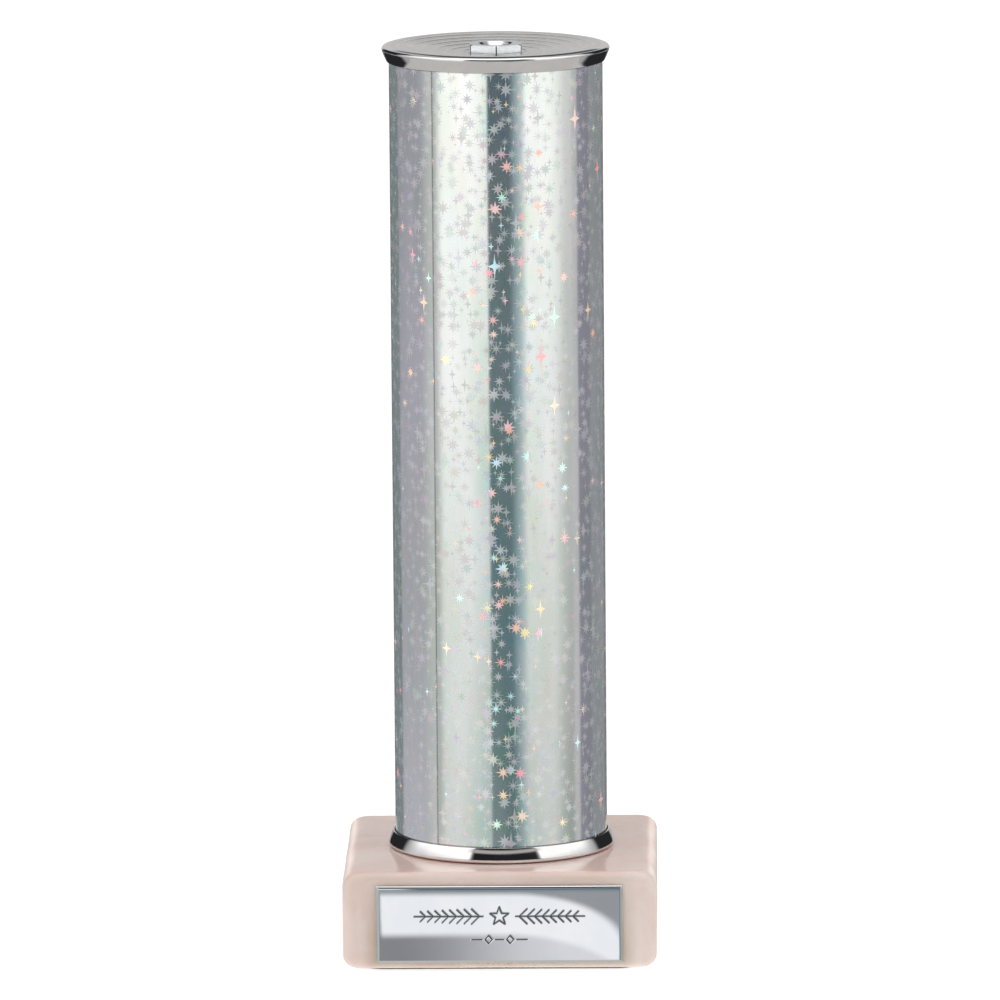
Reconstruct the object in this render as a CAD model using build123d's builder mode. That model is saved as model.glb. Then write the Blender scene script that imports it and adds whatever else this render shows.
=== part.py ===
from build123d import *

import os

# Column trophy: a film-wrapped tube between two pressed caps, tied down on a marble block by one threaded rod.
#
# Millimetres. +Z is up and the engraving plate faces -Y. The origin is on the column's axis, on the underside
# of the felt pad, which is the plane that the trophy stands on.

# Driving dimensions
tube_diameter = 42.0  # over the film
column_height = 159.0  # lower cap's rim to upper cap's rim
base_side = 61.4
base_height = 19.0
pad_thickness = 0.8
thread_diameter = 6.0  # M6, for the rod, the nuts and a topper's stud

# Column
film_thickness = 0.15
tube_wall = 1.2
seam_gap = 0.25  # the film's two edges stop this far apart
seam_bearing = 234.5  # degrees from +X, so left of the front
film_radius = tube_diameter / 2
tube_radius = film_radius - film_thickness
tube_bore_radius = tube_radius - tube_wall

# Caps: one pressing, used rim up on top and rim down below
cap_sheet = 0.3
cap_skirt = 3.1  # rim to lip
lip_clearance = 0.05  # lip to film, on the radius
lip_radius = film_radius + lip_clearance + cap_sheet
rim_radius = film_radius + 1.2
rim_round = 0.5
seat_radius = tube_bore_radius - 0.25  # inner edge of the rim's flat
ring_count = 5  # concentric steps down from the rim's flat to the dish's floor
ring_pitch = 2.4
ring_drop = 0.28
ring_slope = 0.6  # radial run of each step
dish_depth = ring_count * ring_drop
well_radius = 6.1
rod_hole_radius = thread_diameter / 2 + 0.3

# Marble block
side_round_top = 3.0
side_round_bottom = 2.6
front_round = 1.4
corner_round = 2.0
counterbore_radius = 10.0
counterbore_depth = 9.0
base_hole_radius = thread_diameter / 2 + 0.5

# Felt pad
pad_side = 54.0
pad_corner_round = 4.0

# Engraving plate and its tape
plate_width = 48.0
plate_height = 15.3
plate_thickness = 0.5
plate_bevel = 0.25
plate_drop = 0.6  # plate's centre below the block's centre
tape_thickness = 0.2
tape_margin = 1.0

# Hardware
across_flats = 10.0
flat_bearing = 30.0  # degrees from +X to the first flat, which points a corner at the front
end_chamfer_slope = 30.0  # degrees between a nut's end face and its corner chamfers
countersink_radius = 3.375
countersink_depth = 0.5
core_radius = 2.5  # M6 thread's tapping size
running_clearance = 0.05  # rod to a nut's full-size bore, on the radius
top_nut_height = 9.0
top_nut_head = 1.7  # hexagon at the top, above a round barrel that the well guides
barrel_radius = well_radius - 0.2
top_nut_engagement = 4.0  # length of rod inside the top nut
top_nut_step_gap = 0.5  # rod's end to the start of the free thread
top_nut_setback = 0.1  # nut's top below the rim
captive_washer_radius = barrel_radius
captive_washer_thickness = 1.0
base_nut_height = 5.0
base_washer_radius = 9.0
base_washer_thickness = 1.2
washer_hole_radius = thread_diameter / 2 + 0.2
rod_tail = 1.2  # rod past the base nut
rod_end_chamfer = 0.4

# Heights
base_bottom = pad_thickness
base_middle = base_bottom + base_height / 2
base_top = base_bottom + base_height
rim_height = base_top + column_height
counterbore_ceiling = base_bottom + counterbore_depth
base_washer_bottom = counterbore_ceiling - base_washer_thickness
base_nut_bottom = base_washer_bottom - base_nut_height
rod_bottom = base_nut_bottom - rod_tail
top_nut_top = rim_height - top_nut_setback
top_nut_bottom = top_nut_top - top_nut_height
captive_washer_bottom = top_nut_bottom - captive_washer_thickness
well_depth = rim_height - captive_washer_bottom
rod_top = top_nut_bottom + top_nut_engagement
free_thread_bottom = rod_top + top_nut_step_gap
plate_centre = base_middle - plate_drop


def cap_section(rim_z, outward):
    """Half section of a pressed cap whose rim is at rim_z. outward is +1 on the upper cap, -1 on the lower one."""

    def spot(radius, depth):
        return (radius, rim_z - outward * depth)

    outer_steps = []
    inner_steps = []
    for ring in range(ring_count):
        edge = seat_radius - ring * ring_pitch
        depth = ring * ring_drop
        outer_steps += [spot(edge, depth), spot(edge - ring_slope, depth + ring_drop)]
        depth += cap_sheet
        inner_steps += [spot(edge, depth), spot(edge - ring_slope, depth + ring_drop)]
    with BuildSketch(Plane.XZ) as section:
        with BuildLine():
            skirt = Line(spot(lip_radius, cap_skirt), spot(rim_radius, rim_round))
            crown = RadiusArc(skirt @ 1, spot(rim_radius - rim_round, 0), outward * rim_round)
            Polyline(
                crown @ 1,
                *outer_steps,
                spot(well_radius, dish_depth),
                spot(well_radius, well_depth),
                spot(rod_hole_radius, well_depth),
                spot(rod_hole_radius, well_depth + cap_sheet),
                spot(well_radius + cap_sheet, well_depth + cap_sheet),
                spot(well_radius + cap_sheet, dish_depth + cap_sheet),
                *reversed(inner_steps),
                spot(rim_radius - rim_round, cap_sheet),
                spot(lip_radius - cap_sheet, cap_skirt),
                skirt @ 0,
            )
        make_face()
    return section.sketch


def nut_hexagon(bottom):
    with BuildSketch(Plane.XY.offset(bottom)) as hexagon:
        RegularPolygon(across_flats / 2, 6, major_radius=False, rotation=flat_bearing)
    return hexagon.sketch


def nut_silhouette(bottom, height):
    """Half section that a nut's hexagon is trimmed to, so that its corners are chamfered at both ends."""
    corner_radius = across_flats / 3**0.5
    chamfer_run = corner_radius - across_flats / 2
    with BuildSketch(Plane.XZ) as silhouette:
        with Locations((corner_radius / 2, bottom + height / 2)):
            Rectangle(corner_radius, height)
        outer_edge = silhouette.edges().sort_by(Axis.X)[-1]
        chamfer(outer_edge.vertices(), chamfer_run, angle=end_chamfer_slope, reference=outer_edge)
    return silhouette.sketch


def nut_bore(bottom, height, full_bore_top):
    """Half section of a countersunk bore: full size up to full_bore_top, and tapping size above it."""
    full_radius = thread_diameter / 2 + running_clearance
    top = bottom + height
    with BuildSketch(Plane.XZ) as bore:
        with BuildLine():
            Polyline(
                (0, bottom),
                (countersink_radius, bottom),
                (full_radius, bottom + countersink_depth),
                (full_radius, full_bore_top),
                (core_radius, full_bore_top),
                (core_radius, top - countersink_depth),
                (countersink_radius, top),
                (0, top),
                close=True,
            )
        make_face()
    return bore.sketch


# Hand-ground marble block: every edge is eased, and the rod's hole opens into a counterbore underneath
with BuildPart() as marble_base:
    with BuildSketch(Plane.XZ) as front_outline:
        with Locations((0, base_middle)):
            Rectangle(base_side, base_height)
        fillet(front_outline.vertices().group_by(Axis.Y)[-1], side_round_top)
        fillet(front_outline.vertices().group_by(Axis.Y)[0], side_round_bottom)
    extrude(amount=base_side / 2, both=True)
    with BuildSketch(Plane.YZ) as side_outline:
        with Locations((0, base_middle)):
            RectangleRounded(base_side, base_height, front_round)
    extrude(amount=base_side / 2, both=True, mode=Mode.INTERSECT)
    with BuildSketch(Plane.XY.offset(base_bottom)) as top_outline:
        RectangleRounded(base_side, base_side, corner_round)
    extrude(amount=base_height, mode=Mode.INTERSECT)
    with Locations(Plane(origin=(0, 0, base_bottom), z_dir=(0, 0, -1))):
        CounterBoreHole(base_hole_radius, counterbore_radius, counterbore_depth)

with BuildPart() as base_pad:
    with BuildSketch() as pad_outline:
        RectangleRounded(pad_side, pad_side, pad_corner_round)
    extrude(amount=pad_thickness)

with BuildPart() as lower_cap:
    revolve(cap_section(base_top, -1), axis=Axis.Z)

with BuildPart() as upper_cap:
    revolve(cap_section(rim_height, 1), axis=Axis.Z)

with BuildPart() as column_tube:
    with BuildSketch(Plane.XY.offset(base_top + cap_sheet)) as tube_ring:
        Circle(tube_radius)
        Circle(tube_bore_radius, mode=Mode.SUBTRACT)
    extrude(amount=column_height - 2 * cap_sheet)

# Thin sheet round the tube, whose two edges nearly meet at the seam
with BuildPart() as film_wrap:
    with BuildSketch(Plane.XY.offset(base_top + cap_sheet)) as film_ring:
        Circle(film_radius)
        Circle(tube_radius, mode=Mode.SUBTRACT)
        with PolarLocations(film_radius, 1, start_angle=seam_bearing):
            Rectangle(4 * film_thickness, seam_gap, mode=Mode.SUBTRACT)
    extrude(amount=column_height - 2 * cap_sheet)

with BuildPart() as tie_rod:
    with BuildSketch(Plane.XY.offset(rod_bottom)) as rod_circle:
        Circle(thread_diameter / 2)
    extrude(amount=rod_top - rod_bottom)
    chamfer(tie_rod.edges().filter_by(GeomType.CIRCLE), rod_end_chamfer)

# Barrel nut with a hexagon head: the rod fills its lower bore, and the upper one is the free thread for a
# topper's stud
with BuildPart() as top_nut:
    extrude(nut_hexagon(top_nut_bottom), amount=top_nut_height)
    revolve(nut_silhouette(top_nut_bottom, top_nut_height), axis=Axis.Z, mode=Mode.INTERSECT)
    with BuildSketch(Plane.XY.offset(top_nut_bottom)) as barrel_circle:
        Circle(barrel_radius)
    extrude(amount=top_nut_height - top_nut_head)
    revolve(nut_bore(top_nut_bottom, top_nut_height, free_thread_bottom), axis=Axis.Z, mode=Mode.SUBTRACT)

with BuildPart() as captive_washer:
    with BuildSketch(Plane.XY.offset(captive_washer_bottom)) as captive_ring:
        Circle(captive_washer_radius)
        Circle(washer_hole_radius, mode=Mode.SUBTRACT)
    extrude(amount=captive_washer_thickness)

with BuildPart() as base_nut:
    extrude(nut_hexagon(base_nut_bottom), amount=base_nut_height)
    revolve(nut_silhouette(base_nut_bottom, base_nut_height), axis=Axis.Z, mode=Mode.INTERSECT)
    Hole(thread_diameter / 2 + running_clearance)

with BuildPart() as base_washer:
    with BuildSketch(Plane.XY.offset(base_washer_bottom)) as washer_ring:
        Circle(base_washer_radius)
        Circle(washer_hole_radius, mode=Mode.SUBTRACT)
    extrude(amount=base_washer_thickness)

with BuildPart() as plate_tape:
    with BuildSketch(Plane.XZ.offset(base_side / 2)) as tape_outline:
        with Locations((0, plate_centre)):
            Rectangle(plate_width - 2 * tape_margin, plate_height - 2 * tape_margin)
    extrude(amount=tape_thickness)

with BuildPart() as engraving_plate:
    with BuildSketch(Plane.XZ.offset(base_side / 2 + tape_thickness)) as plate_outline:
        with Locations((0, plate_centre)):
            Rectangle(plate_width, plate_height)
    extrude(amount=plate_thickness)
    chamfer(engraving_plate.faces().sort_by(Axis.Y)[0].edges(), plate_bevel)

pieces = {
    "marble_base": marble_base,
    "base_pad": base_pad,
    "lower_cap": lower_cap,
    "upper_cap": upper_cap,
    "column_tube": column_tube,
    "film_wrap": film_wrap,
    "tie_rod": tie_rod,
    "top_nut": top_nut,
    "captive_washer": captive_washer,
    "base_nut": base_nut,
    "base_washer": base_washer,
    "plate_tape": plate_tape,
    "engraving_plate": engraving_plate,
}
os.makedirs("parts", exist_ok=True)
for name, piece in pieces.items():
    piece.part.label = name
    export_step(piece.part, f"parts/{name}.step")
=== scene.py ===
"""Looks for the column trophy: dense meshes for each piece, procedural materials and a plain studio."""

import math

import bmesh
import bpy
import numpy as np
from mathutils import Matrix, Vector, noise


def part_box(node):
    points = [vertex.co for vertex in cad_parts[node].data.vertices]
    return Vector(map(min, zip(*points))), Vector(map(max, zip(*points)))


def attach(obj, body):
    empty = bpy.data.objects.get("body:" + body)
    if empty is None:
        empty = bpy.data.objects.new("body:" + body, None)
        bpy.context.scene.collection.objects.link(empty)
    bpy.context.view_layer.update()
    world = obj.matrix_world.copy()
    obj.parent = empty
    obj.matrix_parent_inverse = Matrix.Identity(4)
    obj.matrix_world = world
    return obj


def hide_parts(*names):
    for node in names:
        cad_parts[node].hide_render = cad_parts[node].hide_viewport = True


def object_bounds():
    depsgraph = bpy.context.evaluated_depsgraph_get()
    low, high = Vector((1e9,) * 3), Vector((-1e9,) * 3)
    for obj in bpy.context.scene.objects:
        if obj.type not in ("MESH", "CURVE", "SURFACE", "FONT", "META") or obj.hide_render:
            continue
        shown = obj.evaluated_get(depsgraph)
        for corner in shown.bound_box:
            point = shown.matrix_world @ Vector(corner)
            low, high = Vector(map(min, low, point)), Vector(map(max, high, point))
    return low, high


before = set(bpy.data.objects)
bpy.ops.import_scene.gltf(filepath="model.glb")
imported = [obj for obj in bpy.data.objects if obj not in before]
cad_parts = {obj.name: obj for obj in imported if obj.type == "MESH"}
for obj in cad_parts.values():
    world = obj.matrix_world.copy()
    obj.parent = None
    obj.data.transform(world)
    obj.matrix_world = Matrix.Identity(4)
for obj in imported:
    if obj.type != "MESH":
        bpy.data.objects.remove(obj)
cad_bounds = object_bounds()

MM = 0.001
TURN = 2 * math.pi
PITCH = 1.0 * MM  # M6 coarse thread
FINE = 0.02 * MM


# ---------------------------------------------------------------- meshes


def ring_angles(count):
    return np.arange(count) * TURN / count


def polar(angles, radius, z):
    """Ring of points at these bearings. radius is a number or one value for each point."""
    return np.stack([radius * np.cos(angles), radius * np.sin(angles), np.full(len(angles), z)], axis=1)


def make_piece(name, points, faces, body, nodes, sharp=35.0):
    """Mesh object in the row frame that stands for its CAD nodes, smooth except at edges sharper than sharp."""
    mesh = bpy.data.meshes.new(name)
    mesh.from_pydata([tuple(p) for p in points], [], faces)
    build = bmesh.new()
    build.from_mesh(mesh)
    bmesh.ops.recalc_face_normals(build, faces=build.faces)
    for face in build.faces:
        face.smooth = True
    for edge in build.edges:
        edge.smooth = edge.is_manifold and edge.calc_face_angle() < math.radians(sharp)
    build.to_mesh(mesh)
    build.free()
    piece = bpy.data.objects.new(name, mesh)
    bpy.context.scene.collection.objects.link(piece)
    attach(piece, body)
    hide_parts(*nodes)
    return piece


def mark(piece, name, values):
    """Stores a value at each of a piece's points for its material to read."""
    attribute = piece.data.attributes.new(name, "FLOAT", "POINT")
    attribute.data.foreach_set("value", values.astype(np.float32))


def loft(rings, closed):
    """Points and faces of a skin over rings of equal length. closed joins the last ring to the first, and an
    open loft gets a fan of faces over each end."""
    count = len(rings[0])
    points = np.concatenate(rings)
    faces = []
    steps = len(rings) if closed else len(rings) - 1
    for step in range(steps):
        here = step * count
        there = (step + 1) % len(rings) * count
        for i in range(count):
            j = (i + 1) % count
            faces.append((here + i, here + j, there + j, there + i))
    if not closed:
        for start, ring in ((0, rings[0]), (len(points) - count, rings[-1])):
            hub = len(points)
            points = np.concatenate([points, ring.mean(axis=0, keepdims=True)])
            faces += [(hub, start + i, start + (i + 1) % count) for i in range(count)]
    return points, faces


def filled_loft(rings, shares, hub_of):
    """Loft whose ends are filled with smaller copies of the end rings, drawn in towards hub_of(ring)."""

    def inner(ring):
        hub = hub_of(ring)
        return [hub + (ring - hub) * share for share in shares]

    return loft(inner(rings[0])[::-1] + rings + inner(rings[-1]), closed=False)


def rounded(corners, radii):
    """Closed outline in two dimensions with an arc at each corner whose radius isn't 0."""
    outline = []
    total = len(corners)
    for i, radius in enumerate(radii):
        before, here, after = (Vector(corners[(i + k) % total]) for k in (-1, 0, 1))
        if radius == 0:
            outline.append(tuple(here))
            continue
        into, out = (before - here).normalized(), (after - here).normalized()
        half = into.angle(out) / 2
        reach = min(radius / math.tan(half), 0.45 * (before - here).length, 0.45 * (after - here).length)
        radius = reach * math.tan(half)
        centre = here + (into + out).normalized() * radius / math.sin(half)
        start, end = here + into * reach - centre, here + out * reach - centre
        sweep = start.angle_signed(end)
        steps = max(2, round(abs(sweep) / math.radians(10)))
        for k in range(steps + 1):
            outline.append(tuple(centre + Matrix.Rotation(-sweep * k / steps, 2) @ start))
    return outline


def lathe(outline, count, ripple=None):
    """Closed skin swept by turning a closed (radius, z) outline. ripple(angles, radius, z) adds to the radius."""
    angles = ring_angles(count)
    rings = []
    for radius, z in outline:
        extra = ripple(angles, radius, z) if ripple else 0.0
        rings.append(polar(angles, radius + extra, z))
    return loft(rings, closed=True)


def rounded_square(half_x, half_y, corner, z, along, around):
    """Ring on a rectangle with round corners, with along points on each side and around on each corner."""

    def on_corner(quarter, bearing):
        middle = quarter * TURN / 4 + TURN / 8
        hub_x = math.copysign(half_x - corner, math.cos(middle))
        hub_y = math.copysign(half_y - corner, math.sin(middle))
        return Vector((hub_x, hub_y)) + corner * Vector((math.cos(bearing), math.sin(bearing)))

    points = []
    for quarter in range(4):
        turn = quarter * TURN / 4
        arc = [on_corner(quarter, turn + a) for a in np.linspace(0, TURN / 4, around)]
        goal = on_corner(quarter + 1, turn + TURN / 4)
        points += arc + [arc[-1].lerp(goal, k / (along + 1)) for k in range(1, along + 1)]
    return np.array([(p.x, p.y, z) for p in points])


def thread_depth(angles, z, depth):
    """How far a thread's flank lies below its crest, round one ring at height z."""
    phase = (z / PITCH - angles / TURN) % 1.0
    wave = np.abs(phase - 0.5) * 2
    return depth * np.clip((wave - 0.12) / 0.72, 0, 1)


# ---------------------------------------------------------------- marble block


def eased_inset(rounding, below):
    """How far an edge of this rounding has drawn in at a distance below its face."""
    left = np.clip(rounding - below, 0, None)
    return rounding - np.sqrt(np.clip(rounding**2 - left**2, 0, None))


def wander(values, side, amount):
    """Slow variation along an edge, as left by grinding by hand."""
    return np.array([1 + amount * noise.noise((v / (14 * MM), side * 3.7, 1.3)) for v in values])


def marble_base():
    low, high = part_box("marble_base")
    half = high.x
    hole = 3.5 * MM
    counterbore = 10.0 * MM
    ceiling = low.z + 9.0 * MM
    outline = rounded_square(half, half, 2.0 * MM, 0, along=96, around=17)
    x, y = outline[:, 0], outline[:, 1]
    shares = 1 - np.cos(np.linspace(0, math.pi / 2, 27))

    def edge_rings(face_z, inward, side_rounding, front_rounding, salt):
        side = side_rounding * wander(y, salt + np.sign(x[0]), 0.12)
        front = front_rounding * wander(x, salt + 9, 0.18)
        rings = []
        for below in shares * side_rounding * 1.15:
            squeeze_x = 1 - eased_inset(side, below) / half
            squeeze_y = 1 - eased_inset(front, below) / half
            rings.append(np.stack([x * squeeze_x, y * squeeze_y, np.full(len(x), face_z + inward * below)], axis=1))
        return rings

    top = edge_rings(high.z, -1, 3.0 * MM, 1.9 * MM, 1)
    bottom = edge_rings(low.z, 1, 2.6 * MM, 1.3 * MM, 2)
    walls = []
    for t in np.linspace(0, 1, 16)[1:-1]:
        walls.append(top[-1] * (1 - t) + bottom[-1] * t)
    bearings = np.arctan2(y, x)

    def spread(ring, radius, z, steps):
        goal = polar(bearings, radius, z)
        return [ring * (1 - t) + goal * t for t in np.linspace(0, 1, steps + 1)[1:]]

    rings = list(reversed(spread(top[0], hole, high.z, 30))) + top + walls + list(reversed(bottom))
    rings += spread(bottom[0], counterbore, low.z, 20)
    rings += spread(rings[-1], counterbore, ceiling, 8)
    rings += spread(rings[-1], hole, ceiling, 8)
    rings += spread(rings[-1], hole, high.z, 8)[:-1]
    points, faces = loft(rings, closed=True)
    return make_piece("marble_block", points, faces, "base", ["marble_base"], sharp=50)


# ---------------------------------------------------------------- caps

RING_COUNT = 5
RING_PITCH = 2.4
RING_DROP = 0.28
RING_SLOPE = 0.6
SEAT_RADIUS = 19.4
CAP_SHEET = 0.3
WELL_RADIUS = 6.1
SKIRT = 3.1


def cap_outline(well_depth):
    """Cap's section as (radius, depth below the rim) in mm: a bowed skirt, a roll that runs into a gently domed rim,
    pressed rings and a well."""
    lip, rim, bow = 21.35, 22.28, 0.05
    roll, dome_run, dome_slope = 0.6, 0.95, math.radians(10)
    skirt_slope = math.radians(22.7)
    hub_radius = rim - roll
    hub_depth = roll * math.cos(dome_slope) + dome_run * math.tan(dome_slope)
    dish = RING_COUNT * RING_DROP
    outer, rounding = [], []

    def add(radius, depth, round_radius=0):
        outer.append((radius, depth))
        rounding.append(round_radius)

    def add_roll(radius, start, end):
        for bearing in np.linspace(start, end, 12):
            add(hub_radius + radius * math.cos(bearing), hub_depth - radius * math.sin(bearing))

    def add_skirt(radius_from, depth_from, radius_to, depth_to):
        for t in np.linspace(0, 1, 12)[1:-1]:
            bulge = 4 * bow * t * (1 - t)
            add(radius_from + (radius_to - radius_from) * t + bulge, depth_from + (depth_to - depth_from) * t)

    roll_radius, roll_depth = hub_radius + roll * math.cos(skirt_slope), hub_depth + roll * math.sin(skirt_slope)
    crest = hub_radius + roll * math.sin(dome_slope) - dome_run
    add(lip, SKIRT, 0.06)
    add_skirt(lip, SKIRT, roll_radius, roll_depth)
    add_roll(roll, -skirt_slope, math.pi / 2 - dome_slope)
    add(crest, 0, 0.5)
    for ring in range(RING_COUNT):
        add(SEAT_RADIUS - ring * RING_PITCH, ring * RING_DROP, 0.7)
        add(SEAT_RADIUS - ring * RING_PITCH - RING_SLOPE, (ring + 1) * RING_DROP, 0.7)
    add(WELL_RADIUS, dish, 0.15)
    add(WELL_RADIUS, well_depth, 0.4)
    add(3.3, well_depth, 0.08)
    add(3.3, well_depth + CAP_SHEET, 0.08)
    add(WELL_RADIUS + CAP_SHEET, well_depth + CAP_SHEET, 0.6)
    add(WELL_RADIUS + CAP_SHEET, dish + CAP_SHEET, 0.3)
    for ring in reversed(range(RING_COUNT)):
        add(SEAT_RADIUS - ring * RING_PITCH - RING_SLOPE, (ring + 1) * RING_DROP + CAP_SHEET, 0.5)
        add(SEAT_RADIUS - ring * RING_PITCH, ring * RING_DROP + CAP_SHEET, 0.5)
    add(crest, CAP_SHEET, 0.3)
    add_roll(roll - CAP_SHEET, math.pi / 2 - dome_slope, -skirt_slope)
    add_skirt(roll_radius - CAP_SHEET, roll_depth, lip - CAP_SHEET, SKIRT)
    add(lip - CAP_SHEET, SKIRT, 0.06)
    return rounded(outer, rounding)


def cap(name, node, outward):
    low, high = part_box(node)
    rim_z = high.z if outward > 0 else low.z
    well_depth = (high.z - low.z) / MM - CAP_SHEET
    outline = [(r * MM, rim_z - outward * depth * MM) for r, depth in cap_outline(well_depth)]

    def ripple(angles, radius, z):
        share = max(0.0, min(1.0, (radius / MM - 20.5) / 1.5))
        wave = np.sin(3 * angles + outward) + 0.6 * np.sin(7 * angles + z / MM) + 0.4 * np.sin(16 * angles)
        return 0.006 * MM * share * wave

    points, faces = lathe(outline, 288, ripple)
    return make_piece(name, points, faces, "column", [node], sharp=60)


# ---------------------------------------------------------------- column

SEAM_BEARING = math.radians(234.5)


def core_tube():
    low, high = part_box("column_tube")
    outer, inner = high.x, high.x - 1.2 * MM
    corners = [(outer, low.z), (outer, high.z), (inner, high.z), (inner, low.z)]
    outline = rounded(corners, [0.25 * MM] * 4)
    tall = []
    for (r0, z0), (r1, z1) in zip(outline, outline[1:] + outline[:1]):
        steps = max(1, round(math.hypot(r1 - r0, z1 - z0) / (6 * MM)))
        tall += [(r0 + (r1 - r0) * k / steps, z0 + (z1 - z0) * k / steps) for k in range(steps)]
    points, faces = lathe(tall, 192)
    return make_piece("core_tube", points, faces, "column", ["column_tube"])


def star_film():
    """One sheet wound round the tube, whose last few degrees lie over its first, so that it has a lap seam."""
    low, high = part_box("film_wrap")
    outer = high.x
    sheet = 0.06 * MM
    inner = outer - 0.145 * MM
    lap = 2.2 * MM / outer
    angles = np.linspace(SEAM_BEARING - lap, SEAM_BEARING + TURN, 420)
    wound = angles - angles[0]
    climb = np.clip((wound - (TURN - 3 * lap)) / (3 * lap), 0, 1)
    climb = climb * climb * (3 - 2 * climb)
    heights = np.concatenate([[low.z], np.linspace(low.z + 0.1 * MM, high.z - 0.1 * MM, 66), [high.z]])
    rings = []
    for z in heights:
        free = min(z - low.z, high.z - z) / (12 * MM)
        free = max(0.0, min(1.0, free))
        slack = np.array([noise.noise((math.cos(a) * 2.2, math.sin(a) * 2.2, z / (45 * MM))) for a in angles])
        under = inner + (sheet + 0.004 * MM) * climb + 0.014 * MM * free * slack
        over = under + sheet
        rings.append(np.concatenate([polar(angles, over, z), polar(angles, under, z)[::-1]]))
    count = len(rings[0])
    half = len(angles)
    points = np.concatenate(rings)
    faces = []
    for step in range(len(rings) - 1):
        here, there = step * count, (step + 1) * count
        faces += [(here + i, here + (i + 1) % count, there + (i + 1) % count, there + i) for i in range(count)]
    for start in (0, len(points) - count):
        faces += [(start + i, start + i + 1, start + count - 2 - i, start + count - 1 - i) for i in range(half - 1)]
    return make_piece("star_film", points, faces, "column", ["film_wrap"], sharp=40)


# ---------------------------------------------------------------- rod, nuts and washers

MAJOR = 3.0 * MM
THREAD_DEPTH = 0.6 * MM
THREAD_GAP = 0.05 * MM


def tie_rod():
    low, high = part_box("tie_rod")
    angles = ring_angles(40)
    steps = round((high.z - low.z) / (0.11 * MM))
    rings = []
    for z in np.linspace(low.z, high.z, steps + 1):
        from_end = min(z - low.z, high.z - z)
        point = MAJOR - max(0.0, 0.7 * MM - from_end)
        rings.append(polar(angles, np.minimum(MAJOR - thread_depth(angles, z, THREAD_DEPTH), point), z))
    points, faces = loft(rings, closed=False)
    return make_piece("threaded_rod", points, faces, "base", ["tie_rod"], sharp=80)


def nut_angles(across, corner):
    """Bearings round a hexagon from one corner at -Y, closer together on each rounded corner."""
    hub = (across / 2 - corner) * 2 / math.sqrt(3)
    round_half = TURN / 12 - math.atan2(hub / 2, across / 2)
    on_corner = np.linspace(-round_half, round_half, 6)
    on_side = np.linspace(round_half, TURN / 6 - round_half, 18)[1:-1]
    sixth = np.concatenate([on_corner, on_side])
    return np.concatenate([sixth + k * TURN / 6 - TURN / 4 for k in range(6)])


def hexagon(angles, across, corner):
    """Distance from the axis to a hexagon's side with its corners rounded, with a corner towards -Y."""
    from_flat = (angles + TURN / 4) % (TURN / 6) - TURN / 12
    from_corner = TURN / 12 - np.abs(from_flat)
    hub = (across / 2 - corner) * 2 / math.sqrt(3)
    round_half = TURN / 12 - math.atan2(hub / 2, across / 2)
    ball = hub * np.cos(from_corner) + np.sqrt(corner**2 - (hub * np.sin(np.minimum(from_corner, round_half))) ** 2)
    return np.where(from_corner < round_half, ball, across / 2 / np.cos(from_flat))


ACROSS_FLATS = 10.0 * MM
# painted shade: a thin dark line runs round the nut this far above its shoulder, standing in for the shadow where the
# topper nut's head meets the cap's well
SHADE_LINE = 0.09  # mm above the shoulder


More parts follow.
